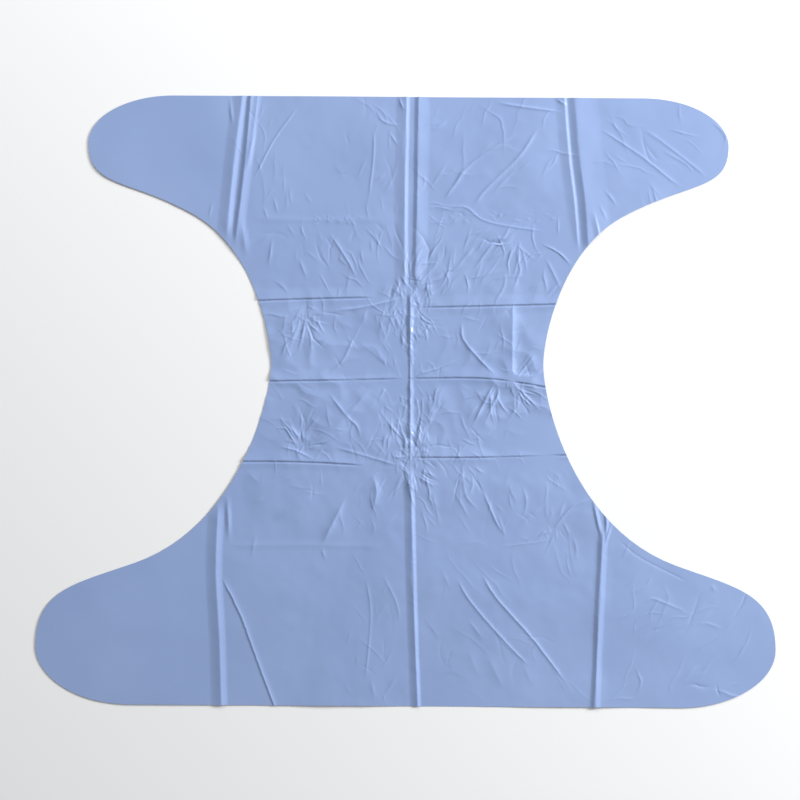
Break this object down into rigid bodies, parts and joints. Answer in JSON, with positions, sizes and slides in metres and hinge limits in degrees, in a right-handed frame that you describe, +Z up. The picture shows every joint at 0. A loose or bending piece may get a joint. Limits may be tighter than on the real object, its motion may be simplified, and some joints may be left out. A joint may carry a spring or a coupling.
{
  "type": "hairdressing cape",
  "caption": "Hourglass-shaped cape of thin blue plastic film, unfolded and lying flat, that folds along its pressed creases into a small packet",
  "frame": {"origin": "under the middle of the unfolded sheet, on the surface that it lies on", "axes": "+X to the right across the sheet, +Y towards the end with the shorter lobes, +Z up"},
  "size_m": [0.74, 0.609, 0.0002],
  "materials": {
    "blue_film": "calendered soft PVC film, satin, with a fine even grain"
  },
  "bodies": {
    "top_left_panel": {"top_left_panel": "blue_film"},
    "top_left_lobe": {"top_left_lobe": "blue_film"},
    "upper_left_band": {"upper_left_band": "blue_film"},
    "lower_left_band": {"lower_left_band": "blue_film"},
    "bottom_left_panel": {"bottom_left_panel": "blue_film"},
    "bottom_left_lobe": {"bottom_left_lobe": "blue_film"},
    "top_right_panel": {"top_right_panel": "blue_film"},
    "top_right_lobe": {"top_right_lobe": "blue_film"},
    "upper_right_band": {"upper_right_band": "blue_film"},
    "lower_right_band": {"lower_right_band": "blue_film"},
    "bottom_right_panel": {"bottom_right_panel": "blue_film"},
    "bottom_right_lobe": {"bottom_right_lobe": "blue_film"}
  },
  "joints": [
    {"name": "centre_fold", "type": "hinge", "parent": "bottom_left_panel", "child": "bottom_right_panel", "pos_m": [0, -0.182, 0.0024], "axis": [0, 1, 0], "range_deg": [-180, 0]},
    {"name": "lower_left_fold", "type": "hinge", "parent": "bottom_left_panel", "child": "lower_left_band", "pos_m": [-0.08, -0.06, 0.0056], "axis": [1, 0, 0], "range_deg": [0, 180]},
    {"name": "middle_left_fold", "type": "hinge", "parent": "lower_left_band", "child": "upper_left_band", "pos_m": [-0.07, 0.0215, 0.0024], "axis": [1, 0, 0], "range_deg": [0, 180]},
    {"name": "upper_left_fold", "type": "hinge", "parent": "upper_left_band", "child": "top_left_panel", "pos_m": [-0.075, 0.103, -0.0008], "axis": [1, 0, 0], "range_deg": [-180, 0]},
    {"name": "top_left_lobe_fold", "type": "hinge", "parent": "top_left_panel", "child": "top_left_lobe", "pos_m": [-0.16, 0.3045, 0.001], "axis": [0.091, 0.9958, 0], "range_deg": [0, 180]},
    {"name": "bottom_left_lobe_fold", "type": "hinge", "parent": "bottom_left_panel", "child": "bottom_left_lobe", "pos_m": [-0.187, -0.3045, 0.001], "axis": [-0.0343, 0.9994, 0], "range_deg": [0, 180]},
    {"name": "lower_right_fold", "type": "hinge", "parent": "bottom_right_panel", "child": "lower_right_band", "pos_m": [0.08, -0.06, 0.0056], "axis": [1, 0, 0], "range_deg": [0, 180]},
    {"name": "middle_right_fold", "type": "hinge", "parent": "lower_right_band", "child": "upper_right_band", "pos_m": [0.07, 0.0215, 0.0024], "axis": [1, 0, 0], "range_deg": [0, 180]},
    {"name": "upper_right_fold", "type": "hinge", "parent": "upper_right_band", "child": "top_right_panel", "pos_m": [0.075, 0.103, -0.0008], "axis": [1, 0, 0], "range_deg": [-180, 0]},
    {"name": "top_right_lobe_fold", "type": "hinge", "parent": "top_right_panel", "child": "top_right_lobe", "pos_m": [0.16, 0.3045, 0.001], "axis": [0.091, -0.9958, 0], "range_deg": [0, 180]},
    {"name": "bottom_right_lobe_fold", "type": "hinge", "parent": "bottom_right_panel", "child": "bottom_right_lobe", "pos_m": [0.187, -0.3045, 0.001], "axis": [-0.0343, -0.9994, 0], "range_deg": [0, 180]}
  ],
  "couplings": [
    {"joint": "lower_right_fold", "follows": "lower_left_fold", "ratio": 1},
    {"joint": "middle_right_fold", "follows": "middle_left_fold", "ratio": 1},
    {"joint": "upper_left_fold", "follows": "lower_left_fold", "ratio": -1},
    {"joint": "upper_right_fold", "follows": "lower_left_fold", "ratio": -1}
  ]
}
